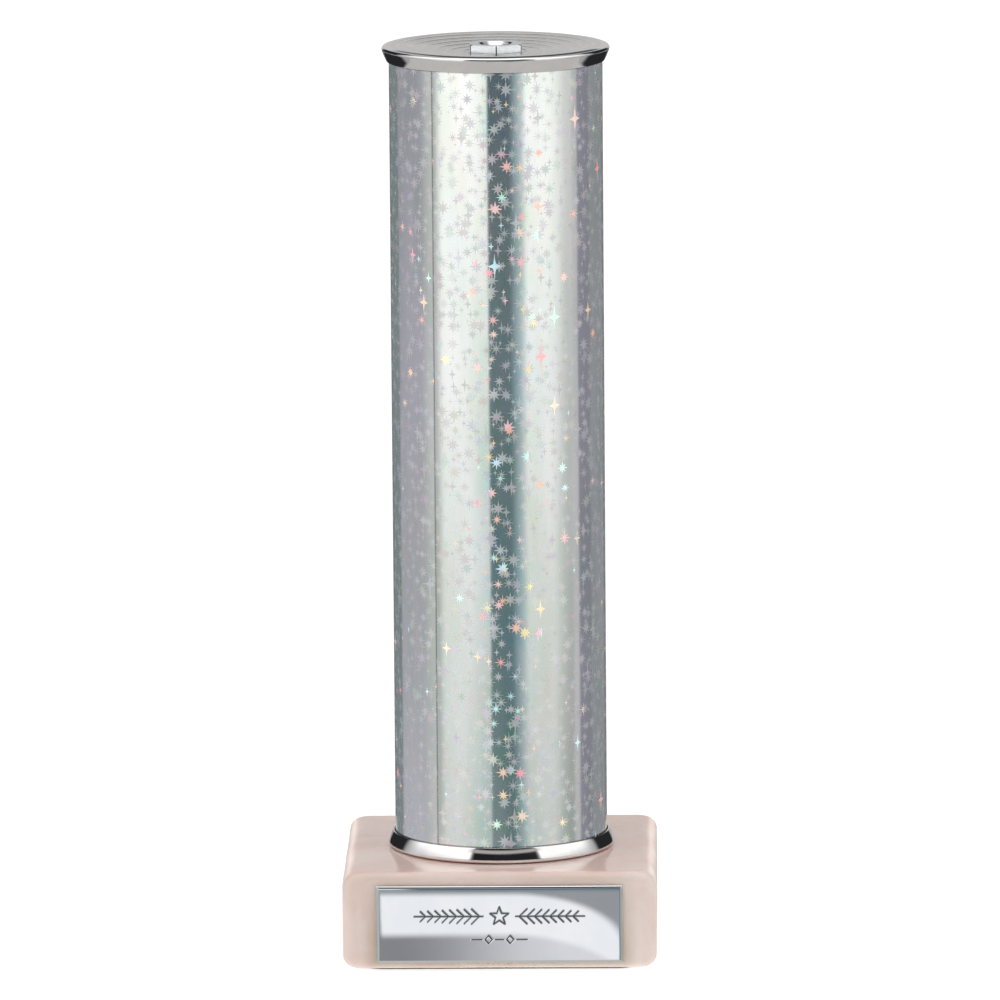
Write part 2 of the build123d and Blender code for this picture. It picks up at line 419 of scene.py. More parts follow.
def hex_nut(name, node, body, twist, head=None, proud=0.0):
    """Hexagon nut with chamfered corners and a full internal thread. twist turns it about its axis. With a head
    height, the hexagon is only that tall, above a round barrel. proud lifts its top above the CAD's."""
    low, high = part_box(node)
    high.z += proud
    corner = 0.3 * MM
    straight = nut_angles(ACROSS_FLATS, corner)
    angles = straight + twist
    side = hexagon(straight, ACROSS_FLATS, corner)
    face_radius = ACROSS_FLATS / 2 * 1.085
    tall = high.z - low.z
    chamfer = (ACROSS_FLATS / math.sqrt(3) - face_radius) * math.tan(math.radians(30))
    mouth = 3.4 * MM
    ease = 0.1 * MM

    def outside(z):
        from_end = min(z - low.z, high.z - z)
        cone = face_radius + from_end / math.tan(math.radians(30))
        return np.minimum(side, cone)

    def bore(z):
        thread = MAJOR + THREAD_GAP - thread_depth(angles, z, THREAD_DEPTH - 0.05 * MM)
        from_end = min(z - low.z, high.z - z)
        return np.maximum(thread, mouth - from_end * 1.2)

    near = np.linspace(0, chamfer * 1.1, 9)
    shoulder = low.z if head is None else high.z - head
    if head is None:
        foot, foot_radius, steps = low.z + near, face_radius, 12
        rings = []
    else:
        foot, foot_radius, steps = shoulder + np.array([0.0, 0.03, SHADE_LINE, 0.15]) * MM, high.x, 7
        barrel = (WELL_RADIUS - 0.03) * MM
        rings = [polar(angles, foot_radius, low.z)]
        rings += [polar(angles, barrel, z) for z in np.linspace(low.z + ease, shoulder - 0.04 * MM, 12)]
        rings.append(polar(angles, foot_radius, shoulder))
    wall = np.linspace(foot[-1], high.z - near[-1], steps)[1:-1]
    rings += [polar(angles, outside(z), z) for z in np.concatenate([foot, wall, (high.z - near)[::-1]])]
    rings += [polar(angles, face_radius + (mouth - face_radius) * t, high.z) for t in (0.3, 0.7)]
    inner_steps = round(tall / (0.09 * MM))
    rings += [polar(angles, bore(z), z) for z in np.linspace(high.z, low.z, inner_steps + 1)]
    rings += [polar(angles, foot_radius + (mouth - foot_radius) * t, low.z) for t in (0.7, 0.3)]
    points, faces = loft(rings, closed=True)
    piece = make_piece(name, points, faces, body, [node], sharp=24)
    # painted shade: thin dark lines down the hexagon's corners stand in for their dark reflection, and a dark line
    # runs just above the shoulder; the zinc material reads them
    radius = np.hypot(points[:, 0], points[:, 1])
    bearing = np.arctan2(points[:, 1], points[:, 0]) - twist
    from_corner = TURN / 12 - np.abs((bearing + TURN / 4) % (TURN / 6) - TURN / 12)
    above = points[:, 2] - shoulder
    on_corner = (above > 0.01 * MM) & (from_corner * radius < 0.11 * MM)
    painted_shade_lines = (radius > 0.9 * face_radius) & (on_corner | (np.abs(above - SHADE_LINE * MM) < 0.03 * MM))
    mark(piece, "painted_shade_lines", painted_shade_lines)
    return piece


def washer(name, node, body):
    low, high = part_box(node)
    hole = MAJOR + 0.2 * MM
    corners = [(high.x, low.z), (high.x, high.z), (hole, high.z), (hole, low.z)]
    outline = rounded(corners, [0.3 * MM, 0.12 * MM, 0.12 * MM, 0.25 * MM])
    points, faces = lathe(outline, 128)
    return make_piece(name, points, faces, body, [node], sharp=40)


# ---------------------------------------------------------------- pad, tape and plate


def felt_pad():
    """Die-cut felt with soft, slightly furry edges."""
    low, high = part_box("base_pad")
    outline = rounded_square(high.x, high.y, 4.0 * MM, 0, along=90, around=24)
    thick = high.z - low.z
    rings = []
    for t in np.linspace(0, math.pi, 9):
        inset = 0.3 * MM * (1 - math.sin(t))
        z = low.z + thick * (1 - math.cos(t)) / 2
        fray = [1 + 0.0022 * noise.noise((p[0] * 900, p[1] * 900, z * 2500)) for p in outline]
        ring = outline * (np.array(fray)[:, None] - inset / high.x)
        ring[:, 2] = z
        rings.append(ring)
    points, faces = filled_loft(rings, (0.97, 0.8, 0.6, 0.4, 0.2, 0.05), lambda ring: np.array([0, 0, ring[0, 2]]))
    return make_piece("felt_pad", points, faces, "base", ["base_pad"], sharp=60)


def foam_tape():
    low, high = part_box("plate_tape")
    half_x, half_z = (high.x - low.x) / 2, (high.z - low.z) / 2
    middle_z = (high.z + low.z) / 2
    flat = rounded_square(half_x, half_z, 0.6 * MM, 0, along=60, around=8)
    rings = []
    for t in np.linspace(0, 1, 5):
        bulge = 1 + 0.0016 * math.sin(math.pi * t)
        y = low.y + (high.y - low.y) * t
        rings.append(np.stack([flat[:, 0] * bulge, np.full(len(flat), y), middle_z + flat[:, 1] * bulge], axis=1))
    points, faces = filled_loft(rings, (0.75, 0.5, 0.25), lambda ring: ring.mean(axis=0))
    return make_piece("foam_tape", points, faces, "base", ["plate_tape"], sharp=60)


def stroke(points_x, points_z, start, end, half_width):
    """How deep in a rounded groove from start to end each point is, from 0 outside it to 1 on its middle line."""
    along = np.array(end) - np.array(start)
    length = float(along @ along) or 1.0
    share = np.clip(((points_x - start[0]) * along[0] + (points_z - start[1]) * along[1]) / length, 0, 1)
    away = np.hypot(points_x - start[0] - share * along[0], points_z - start[1] - share * along[1])
    return np.clip(1 - away / half_width, 0, 1)


def engraving(x, z):
    """Depth, from 0 to 1, of the plate's plain ornament: a star between two leafy sprigs, and a short rule below."""
    cut = np.zeros_like(x)

    def add(start, end, half_width):
        np.maximum(cut, stroke(x, z, start, end, half_width), out=cut)

    upper, lower = 1.7 * MM, -2.9 * MM
    tips = []
    for k in range(10):
        reach = (1.9 if k % 2 == 0 else 0.78) * MM
        bearing = TURN / 4 + k * TURN / 10
        tips.append((reach * math.cos(bearing), upper + reach * math.sin(bearing)))
    for start, end in zip(tips, tips[1:] + tips[:1]):
        add(start, end, 0.15 * MM)
    for side in (-1, 1):
        add((side * 3.2 * MM, upper), (side * 16.6 * MM, upper), 0.14 * MM)
        for k in range(8):
            root, grow = (3.9 + 1.5 * k) * MM, (1.5 - 0.07 * k) * MM
            for lift in (-1, 1):
                add((side * root, upper), (side * (root + grow), upper + lift * grow), 0.14 * MM)
        diamond = [(1.4, 0), (2.1, 0.8), (2.8, 0), (2.1, -0.8)]
        corners = [(side * dx * MM, lower + dz * MM) for dx, dz in diamond]
        for start, end in zip(corners, corners[1:] + corners[:1]):
            add(start, end, 0.15 * MM)
        add((side * 3.4 * MM, lower), (side * 5.4 * MM, lower), 0.15 * MM)
    add((-0.8 * MM, lower), (0.8 * MM, lower), 0.15 * MM)
    return cut


def engraving_plate():
    """Thin plate with rolled edges and a slightly bowed face, and an engraving cut into it."""
    low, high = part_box("engraving_plate")
    middle = (low + high) / 2
    half_x, half_z = (high.x - low.x) / 2, (high.z - low.z) / 2
    columns, rows = 481, 154
    x, z = np.meshgrid(np.linspace(-half_x, half_x, columns), np.linspace(-half_z, half_z, rows))
    edge = np.minimum(half_x - np.abs(x), half_z - np.abs(z))
    roll = np.clip(edge / (0.55 * MM), 0, 1)
    roll = np.sqrt(1 - (1 - roll) ** 2)
    cut = engraving(x, z)
    bow = 1 - 0.5 * (x / half_x) ** 2 - 0.5 * (z / half_z) ** 2
    height = (0.16 + 0.25 * roll + 0.09 * bow * roll) * MM - 0.05 * MM * cut
    points = np.stack([middle.x + x, high.y - height, middle.z + z], axis=2).reshape(-1, 3)
    index = np.arange(columns * rows).reshape(rows, columns)
    faces = []
    for under, over in zip(index, index[1:]):
        faces += zip(under, under[1:], over[1:], over)
    border = list(index[0, :-1]) + list(index[:-1, -1]) + list(index[-1, :0:-1]) + list(index[:0:-1, 0])
    back = points[border].copy()
    back[:, 1] = high.y
    start = len(points)
    points = np.concatenate([points, back])
    total = len(border)
    for i in range(total):
        j = (i + 1) % total
        faces.append((border[i], start + i, start + j, border[j]))
    faces.append(tuple(range(start, start + total)))
    faces = [tuple(int(v) for v in face) for face in faces]
    piece = make_piece("name_plate", points, faces, "base", ["engraving_plate"], sharp=50)
    mark(piece, "engraved", np.concatenate([cut.ravel(), np.zeros(total)]))
    return piece


# ---------------------------------------------------------------- node trees


class Graph:
    """Short calls for building a node tree. A number, a colour or a socket can feed any input."""

    def __init__(self, tree):
        self.tree = tree
        tree.nodes.clear()

    def node(self, kind, inputs=None, **settings):
        made = self.tree.nodes.new(kind)
        for key, value in settings.items():
            setattr(made, key, value)
        for key, value in (inputs or {}).items():
            self.feed(made.inputs[key], value)
        return made

    def feed(self, socket, value):
        if isinstance(value, bpy.types.NodeSocket):
            self.tree.links.new(value, socket)
        elif value is not None:
            if socket.type == "RGBA" and len(value) == 3:
                value = (*value, 1.0)
            socket.default_value = value

    def math(self, operation, *values):
        made = self.node("ShaderNodeMath", dict(enumerate(values)), operation=operation)
        return made.outputs[0]

    def times(self, first, *others):
        for other in others:
            first = self.math("MULTIPLY", first, other)
        return first

    def ramp(self, value, low, high, low_out=0.0, high_out=1.0, smooth=True):
        inputs = {"Value": value, "From Min": low, "From Max": high, "To Min": low_out, "To Max": high_out}
        kind = "SMOOTHSTEP" if smooth else "LINEAR"
        return self.node("ShaderNodeMapRange", inputs, interpolation_type=kind).outputs[0]

    def drop(self, value, low, high):
        return self.ramp(value, low, high, 1.0, 0.0)

    def away(self, value, centre):
        """Distance of a value from a centre."""
        return self.math("ABSOLUTE", self.math("SUBTRACT", value, centre))

    def band(self, value, low, high, soft):
        """1 between low and high, falling to 0 over soft on both sides."""
        return self.times(
            self.ramp(value, low - soft / 2, low + soft / 2),
            self.drop(value, high - soft / 2, high + soft / 2),
        )

    def mix(self, factor, a, b, blend="MIX"):
        made = self.node("ShaderNodeMix", data_type="RGBA", blend_type=blend)
        for index, value in ((0, factor), (6, a), (7, b)):
            self.feed(made.inputs[index], value)
        return made.outputs[2]

    def blend(self, factor, a, b):
        """mix for plain numbers."""
        return self.node("ShaderNodeMix", {0: factor, 2: a, 3: b}, data_type="FLOAT").outputs[0]

    def noise(self, vector, scale, detail, rough, distortion=0.0, output="Fac"):
        inputs = {"Vector": vector, "Scale": scale, "Detail": detail, "Roughness": rough, "Distortion": distortion}
        return self.node("ShaderNodeTexNoise", inputs).outputs[output]

    def vector(self, x, y, z=0.0):
        return self.node("ShaderNodeCombineXYZ", {0: x, 1: y, 2: z}).outputs[0]

    def vector_math(self, operation, *values):
        return self.node("ShaderNodeVectorMath", dict(enumerate(values)), operation=operation).outputs[0]

    def split(self, vector):
        return self.node("ShaderNodeSeparateXYZ", {0: vector}).outputs

    def colour(self, hue, saturation, value):
        inputs = {0: hue, 1: saturation, 2: value}
        return self.node("ShaderNodeCombineColor", inputs, mode="HSV").outputs[0]

    def bump(self, height, distance, strength=1.0, normal=None):
        inputs = {"Height": height, "Distance": distance, "Strength": strength, "Normal": normal}
        return self.node("ShaderNodeBump", inputs).outputs[0]


def new_material(name):
    material = bpy.data.materials.new(name)
    material.use_nodes = True
    return material, Graph(material.node_tree)


def principled(graph, inputs):
    return graph.node("ShaderNodeBsdfPrincipled", inputs).outputs[0]


def metal(graph, paint, rough, normal):
    return principled(graph, {"Base Color": paint, "Metallic": 1.0, "Roughness": rough, "Normal": normal})


def finish(graph, surface):
    graph.node("ShaderNodeOutputMaterial", {"Surface": surface})


def object_mm(graph):
    """Position in the row frame in millimetres."""
    place = graph.node("ShaderNodeTexCoord").outputs["Object"]
    return scaled(graph, place, 1 / MM)


def scaled(graph, vector, factor):
    return graph.node("ShaderNodeVectorMath", {0: vector, "Scale": factor}, operation="SCALE").outputs[0]


# ---------------------------------------------------------------- materials


def marble_material():
    """Polished pale pink marble: soft clouds, a few warm veins and fine speckle, with painted shade round the plate
    and a pinker painted top face. Its outline loses its shine and gets a faint painted glow that lightens its edges."""
    material, g = new_material("polished_marble")
    place = object_mm(g)
    warp = g.noise(place, 0.035, 3.0, 0.55, output="Color")
    bent = g.vector_math("MULTIPLY_ADD", warp, (22.0, 22.0, 22.0), place)
    cloud = g.noise(bent, 0.045, 4.0, 0.55, 0.6)
    patch = g.noise(bent, 0.16, 5.0, 0.6, 0.3)
    grain = g.noise(place, 2.6, 3.0, 0.65)
    stretched = g.node("ShaderNodeMapping", {"Vector": bent, "Rotation": (0.3, 0.5, 0.9), "Scale": (0.05, 0.16, 0.1)})
    ridge = g.noise(stretched.outputs[0], 1.0, 6.0, 0.62, 0.8)
    vein = g.math("SUBTRACT", 1.0, g.times(g.away(ridge, 0.5), 16.0))
    vein = g.times(g.math("MAXIMUM", vein, 0.0), g.ramp(patch, 0.42, 0.62))
    base = g.mix(g.ramp(cloud, 0.33, 0.68), (0.835, 0.685, 0.62), (0.91, 0.80, 0.745))
    base = g.mix(g.times(g.ramp(patch, 0.5, 0.72), 0.30), base, (0.93, 0.865, 0.825))
    base = g.mix(g.times(vein, 0.14), base, (0.66, 0.46, 0.39))
    base = g.mix(g.times(g.ramp(grain, 0.56, 0.74), 0.08), base, (0.70, 0.54, 0.48))
    across, ahead, up = g.split(g.node("ShaderNodeNewGeometry").outputs["Normal"])
    # painted light: faces that look up are tinted pinker and brighter than the sides
    base = g.mix(g.ramp(up, 0.5, 1.0), base, g.mix(1.0, base, (1.13, 1.025, 1.02), "MULTIPLY"))
    # painted shade: the front face is darkened in a halo round the plate, most strongly below it
    x, _, z = g.split(place)
    low, high = (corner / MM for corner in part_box("engraving_plate"))
    beside = g.math("SUBTRACT", g.math("ABSOLUTE", x), high.x)
    beyond = g.math("SUBTRACT", g.away(z, (low.z + high.z) / 2), (high.z - low.z) / 2)
    border = g.drop(g.math("MAXIMUM", beside, beyond), 0.3, 3.6)
    border = g.times(border, g.ramp(z, low.z, high.z, 1.0, 0.35))
    border = g.times(border, g.drop(ahead, -0.9, -0.5))
    base = g.mix(border, base, g.mix(1.0, base, (0.82, 0.80, 0.735), "MULTIPLY"))
    # painted light: at the side outlines the shine is turned down and a faint glow (the emission below) lightens
    # edges that the lamps leave dark
    grazing = g.ramp(g.node("ShaderNodeLayerWeight", {"Blend": 0.5}).outputs["Facing"], 0.5, 0.85)
    outline = g.times(grazing, g.ramp(g.math("ABSOLUTE", across), 0.25, 0.6))
    shine = g.math("MULTIPLY_ADD", outline, -0.27, 0.28)
    rough = g.ramp(g.noise(place, 0.5, 4.0, 0.6), 0.3, 0.7, 0.07, 0.16)
    pits = g.noise(place, 1.4, 4.0, 0.6)
    normal = g.bump(pits, 0.004 * MM, 0.6)
    inputs = {
        "Base Color": base,
        "Roughness": rough,
        "IOR": 1.52,
        "Specular IOR Level": shine,
        "Normal": normal,
        # painted glow at the side outlines
        "Emission Color": base,
        "Emission Strength": g.times(outline, 0.22),
        "Subsurface Weight": 0.4,
        "Subsurface Radius": (1.0, 0.78, 0.68),
        "Subsurface Scale": 2.5 * MM,
    }
    finish(g, principled(g, inputs))
    return material


def chrome_material():
    """Bright plating: mirror skirt, a dish with finer satin rings, faint smears and dust-fine scratches."""
    material, g = new_material("bright_chrome")
    place = object_mm(g)
    x, y, z = g.split(place)
    radius = g.math("SQRT", g.math("ADD", g.times(x, x), g.times(y, y)))
    on_dish = g.drop(radius, 20.6, 20.9)
    turned = g.vector(g.times(radius, 5.0), 0.0, 0.0)
    lines = g.noise(turned, 1.0, 4.0, 0.7)
    smear = g.noise(place, 0.14, 4.0, 0.6, 0.5)
    speck = g.noise(place, 5.0, 2.0, 0.5)
    tint = g.mix(g.ramp(smear, 0.35, 0.7), (0.86, 0.85, 0.845), (0.93, 0.925, 0.92))
    polish = g.ramp(smear, 0.35, 0.75, 0.035, 0.09)
    satin = g.ramp(lines, 0.3, 0.7, 0.13, 0.22)
    rough = g.blend(on_dish, polish, satin)
    rough = g.math("ADD", rough, g.ramp(speck, 0.68, 0.8, 0.0, 0.12))
    height = g.times(lines, g.times(on_dish, 0.6))
    normal = g.bump(g.math("ADD", height, g.times(smear, 0.25)), 0.012 * MM, 1.0)
    finish(g, metal(g, tint, rough, normal))
    return material


def star_layer(g, along, up, glint, cell, shift, long_reach, four_share, present_share, vivid_share):
    """One scatter of embossed stars on a jittered grid. Returns how much a point is inside a star, the star's pale
    tint, its strong tint, its tilt and whether it is a vivid one. along and up are in millimetres. More stars are
    vivid where glint is high."""
    u = g.math("ADD", g.math("DIVIDE", along, cell), shift)
    v = g.math("ADD", g.math("DIVIDE", up, cell * 1.12), shift * 1.7)
    here = g.vector(u, v)
    cells = g.node(
        "ShaderNodeTexVoronoi", {"Vector": here, "Scale": 1.0, "Randomness": 0.78}, voronoi_dimensions="2D"
    )
    hub = cells.outputs["Position"]
    pick = g.node("ShaderNodeTexWhiteNoise", {"Vector": hub}, noise_dimensions="2D")
    first, second, third = g.split(pick.outputs["Color"])
    other = g.node("ShaderNodeTexWhiteNoise", {"Vector": scaled(g, hub, 1.37)}, noise_dimensions="2D")
    fourth, fifth, sixth = g.split(other.outputs["Color"])
    du, dv, _ = g.split(g.vector_math("SUBTRACT", here, hub))
    dx, dy = g.times(du, cell), g.times(dv, cell * 1.12)
    four = g.math("LESS_THAN", first, four_share)
    dx = g.times(dx, g.math("MULTIPLY_ADD", four, 0.7, 1.0))
    away = g.math("SQRT", g.math("ADD", g.times(dx, dx), g.times(dy, dy)))
    bearing = g.math("ARCTAN2", dy, dx)
    eight_spread = g.math("DIVIDE", g.math("PINGPONG", bearing, math.pi / 8), math.pi / 8)
    four_spread = g.math("DIVIDE", g.math("PINGPONG", bearing, math.pi / 4), math.pi / 4)
    slim = g.ramp(fourth, 0.35, 0.6, 1.7, 4.2)
    eight = g.math("MULTIPLY_ADD", eight_spread, slim, 1.0)
    eight = g.times(eight, g.math("MULTIPLY_ADD", four_spread, 0.15, 1.0))
    quad = g.math("MULTIPLY_ADD", g.math("POWER", four_spread, 0.8), 2.9, 1.0)
    spread = g.blend(four, eight, quad)
    reach = g.ramp(fifth, 0.0, 1.0, long_reach * 0.62, long_reach, smooth=False)
    level = g.math("SUBTRACT", reach, g.times(away, spread))
    present = g.math("LESS_THAN", g.math("FRACT", g.times(third, 5.17)), present_share)
    inside = g.times(g.ramp(level, 0.0, 0.14), present)
    vivid = g.math("LESS_THAN", sixth, g.math("MULTIPLY_ADD", glint, 0.17, vivid_share))
    cold = g.times(g.math("LESS_THAN", second, 0.25), 0.42)
    hue = g.math("FRACT", g.math("ADD", g.math("MULTIPLY_ADD", third, 0.18, 0.965), cold))
    value = g.ramp(first, 0.0, 1.0, 0.86, 1.0, smooth=False)
    pale = g.colour(g.math("FRACT", g.times(third, 3.1)), g.ramp(second, 0.0, 1.0, 0.02, 0.11), value)
    strong = g.colour(hue, g.times(vivid, g.ramp(second, 0.0, 1.0, 0.26, 0.58)), 1.0)
    tilt = g.vector_math("SUBTRACT", other.outputs["Color"], (0.5, 0.5, 0.5))
    return inside, pale, strong, tilt, vivid


STAR_LAYERS = [
    (2.80, 0.31, 1.75, 0.12, 1.00, 0.02),
    (3.15, 5.77, 1.65, 0.12, 0.90, 0.03),
    (2.60, 11.13, 1.10, 1.00, 0.50, 0.06),
    (9.50, 17.90, 2.80, 1.00, 0.70, 0.22),
]


def film_material():
    """Silver film embossed all over with stars. A star scatters more of the light than the plain film between, and
    a vivid one also breaks it into a colour, so it shows best where the mirror image is dark. Colour and vivid stars
    are also painted on as a glint where the mirror image looks into the studio's dark gap, and painted shade darkens
    the lap seam and the film under the caps' lips."""
    material, g = new_material("star_film_foil")
    place = object_mm(g)
    inputs = {"Vector": place, "Angle": math.pi - SEAM_BEARING}
    x, y, z = g.split(g.node("ShaderNodeVectorRotate", inputs, rotation_type="Z_AXIS").outputs[0])
    bearing = g.math("ARCTAN2", y, x)
    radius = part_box("film_wrap")[1].x / MM
    along = g.times(bearing, radius)

    def unrolled_noise(along_scale, up_scale, layer, detail, rough):
        spot = g.vector(g.times(along, along_scale), g.times(z, up_scale), layer)
        return g.noise(spot, 1.0, detail, rough)

    flow = unrolled_noise(0.16, 0.022, 0.0, 3.0, 0.55)
    drift = unrolled_noise(0.11, 0.03, 7.0, 2.0, 0.5)
    wash = unrolled_noise(0.30, 0.16, 3.0, 2.0, 0.5)
    # painted glint: where the mirror image looks into the dark gap between the studio's two soft boxes, the plain
    # film is painted with more pastel colour and more stars are vivid and brighter
    mirrored_x, mirrored_y, _ = g.split(g.node("ShaderNodeTexCoord").outputs["Reflection"])
    mirrored = g.math("ARCTAN2", mirrored_x, g.times(mirrored_y, -1.0))
    from_gap = g.away(mirrored, math.radians(8.0))
    glint = g.drop(from_gap, math.radians(14.0), math.radians(46.0))
    hue = g.ramp(drift, 0.3, 0.7, 0.08, 0.52, smooth=False)
    hue = g.math("MULTIPLY_ADD", glint, g.ramp(wash, 0.3, 0.7, -0.16, 0.18, smooth=False), hue)
    pastel = g.ramp(flow, 0.35, 0.7, 0.0, 0.075)
    pastel = g.math("MULTIPLY_ADD", glint, g.ramp(wash, 0.4, 0.72, 0.0, 0.13), pastel)
    plain = g.colour(g.math("FRACT", g.math("ADD", hue, 1.0)), pastel, g.ramp(flow, 0.3, 0.7, 0.98, 0.90))
    sharp_paint = soft_paint = plain
    spark_paint = (0.0, 0.0, 0.0)
    haze = vivid_total = 0.0
    lean = (0.0, 0.0, 0.0)
    pale_spark = g.math("MULTIPLY_ADD", glint, 0.20, 0.17)
    for layer in STAR_LAYERS:
        inside, pale, strong, tilt, vivid = star_layer(g, along, z, glint, *layer)
        sharp_paint = g.mix(inside, sharp_paint, pale)
        soft_paint = g.mix(inside, soft_paint, g.mix(vivid, pale, strong))
        spark_paint = g.mix(inside, spark_paint, g.mix(vivid, scaled(g, pale, pale_spark), strong))
        lean = g.mix(inside, lean, g.vector_math("MULTIPLY", tilt, (0.06, 0.06, 0.016)))
        haze = g.math("MAXIMUM", haze, inside)
        vivid_total = g.math("MAXIMUM", vivid_total, g.times(inside, vivid))
    normal = g.node("ShaderNodeNewGeometry").outputs["Normal"]
    leaning = g.vector_math("NORMALIZE", g.vector_math("ADD", normal, lean))
    # painted shade: a dark line along the lap seam's step and dark bands on the film just under the caps' lips
    seam_away = g.math("SUBTRACT", math.pi * radius, g.math("ABSOLUTE", along))
    seam = g.times(g.drop(seam_away, 0.05, 0.3), 0.35)
    above = g.math("SUBTRACT", z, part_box("lower_cap")[0].z / MM + SKIRT)
    below = g.math("SUBTRACT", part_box("upper_cap")[1].z / MM - SKIRT, z)
    ends = g.times(g.drop(g.math("MINIMUM", above, below), 0.1, 0.3), 0.7)
    painted_shade_lines = g.math("MAXIMUM", seam, ends)
    sharp_paint = g.mix(painted_shade_lines, sharp_paint, (0.25, 0.26, 0.28))
    soft_paint = g.mix(painted_shade_lines, soft_paint, (0.25, 0.26, 0.28))
    sharp = metal(g, sharp_paint, g.math("MULTIPLY_ADD", haze, 0.10, 0.095), leaning)
    soft = metal(g, soft_paint, 0.6, normal)
    spark = metal(g, spark_paint, 0.75, normal)
    share = g.math("MULTIPLY_ADD", vivid_total, 0.24, g.math("MULTIPLY_ADD", haze, 0.24, 0.14))
    both = g.node("ShaderNodeMixShader", {0: share, 1: sharp, 2: soft}).outputs[0]
    finish(g, g.node("ShaderNodeAddShader", {0: both, 1: spark}).outputs[0])
    return material


def zinc_material():
    """Bright zinc plate: faint blue and yellow passivation, machining lines, and painted shade in thin dark lines on
    the nut's corners and above its shoulder.
    """
    material, g = new_material("bright_zinc")
    place = object_mm(g)
    cloud = g.noise(place, 0.5, 4.0, 0.6, 0.4)
    fine = g.noise(g.vector_math("MULTIPLY", place, (2.0, 2.0, 14.0)), 1.0, 3.0, 0.6)
    tint = g.mix(g.ramp(cloud, 0.35, 0.65), (0.77, 0.82, 0.86), (0.86, 0.875, 0.88))
    painted_shade_lines = g.node("ShaderNodeAttribute", attribute_name="painted_shade_lines").outputs["Fac"]
    # painted shade: the nut's painted shade lines turn near black
    tint = g.mix(g.ramp(painted_shade_lines, 0.15, 0.6), tint, (0.10, 0.10, 0.11))
    rough = g.math("ADD", g.ramp(cloud, 0.3, 0.7, 0.13, 0.24), g.ramp(fine, 0.55, 0.8, 0.0, 0.1))
    normal = g.bump(fine, 0.006 * MM, 0.8)
    finish(g, metal(g, tint, rough, normal))
    return material


def plate_material():
    """Bright polished aluminium, very slightly dished by its tape, with darker, rougher engraved cuts."""
    material, g = new_material("engraved_aluminium")
    place = object_mm(g)
    low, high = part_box("engraving_plate")
    middle, half = (low + high) / 2 / MM, (high - low) / 2 / MM
    x, y, z = g.split(place)
    across = g.math("DIVIDE", x, half.x)
    up = g.math("DIVIDE", g.math("SUBTRACT", z, middle.z), half.z)
    cut = g.node("ShaderNodeAttribute", attribute_name="engraved").outputs["Fac"]
    lines = g.noise(g.vector_math("MULTIPLY", place, (6.0, 1.0, 0.25)), 1.0, 4.0, 0.65)
    smear = g.noise(place, 0.12, 3.0, 0.55)
    shine = g.mix(g.ramp(smear, 0.35, 0.68), (0.87, 0.885, 0.905), (0.92, 0.925, 0.93))
    paint = g.mix(g.ramp(cut, 0.12, 0.45), shine, (0.17, 0.18, 0.195))
    rough = g.math("ADD", g.ramp(lines, 0.3, 0.75, 0.014, 0.035), g.times(g.ramp(cut, 0.1, 0.4), 0.4))
    dished = g.vector(g.times(across, 0.080), 0.0, g.math("MULTIPLY_ADD", up, 0.024, -0.038))
    normal = g.node("ShaderNodeNewGeometry").outputs["Normal"]
    normal = g.vector_math("NORMALIZE", g.vector_math("ADD", normal, dished))
    normal = g.bump(lines, 0.002 * MM, 0.06, normal)
    finish(g, metal(g, paint, rough, normal))
    return material


def felt_material():
    """Dense dark felt: matted fibres, a few lighter ones, and a soft sheen."""
    material, g = new_material("dark_felt")
    place = object_mm(g)

    def fibres(scale):
        return g.noise(g.vector_math("MULTIPLY", place, scale), 1.0, 5.0, 0.75, 1.2)

    matted = g.math("MAXIMUM", fibres((4.0, 9.0, 6.0)), fibres((9.0, 4.0, 6.0)))
    paint = g.mix(g.ramp(matted, 0.45, 0.75), (0.035, 0.04, 0.042), (0.13, 0.135, 0.135))
    normal = g.bump(matted, 0.15 * MM, 0.9)
    inputs = {
        "Base Color": paint,
        "Roughness": g.ramp(matted, 0.4, 0.8, 0.8, 0.98),
        "Normal": normal,
        "Sheen Weight": 0.5,
        "Sheen Roughness": 0.6,
    }
    finish(g, principled(g, inputs))
    return material


def foam_material():
    """Off-white foam tape with small closed cells."""
    material, g = new_material("foam_tape_white")
    place = object_mm(g)
    cells = g.node("ShaderNodeTexVoronoi", {"Vector": place, "Scale": 7.0}).outputs["Distance"]
    paint = g.mix(g.ramp(cells, 0.1, 0.6), (0.62, 0.60, 0.54), (0.82, 0.80, 0.74))
    rough = g.ramp(cells, 0.1, 0.6, 0.9, 0.6)
    inputs = {"Base Color": paint, "Roughness": rough, "Normal": g.bump(cells, 0.05 * MM, 0.8)}
    finish(g, principled(g, inputs))
    return material


def styrene_material():
    """White moulded styrene with faint flow marks along the tube."""
    material, g = new_material("white_styrene")
    place = object_mm(g)
    flow = g.noise(g.vector_math("MULTIPLY", place, (0.5, 0.5, 0.03)), 1.0, 4.0, 0.6)
    paint = g.mix(g.ramp(flow, 0.35, 0.7), (0.74, 0.73, 0.71), (0.82, 0.82, 0.80))
    rough = g.ramp(flow, 0.3, 0.7, 0.38, 0.55)
    inputs = {"Base Color": paint, "Roughness": rough, "Normal": g.bump(flow, 0.03 * MM, 0.5), "IOR": 1.55}
    finish(g, principled(g, inputs))
    return material


# ---------------------------------------------------------------- studio


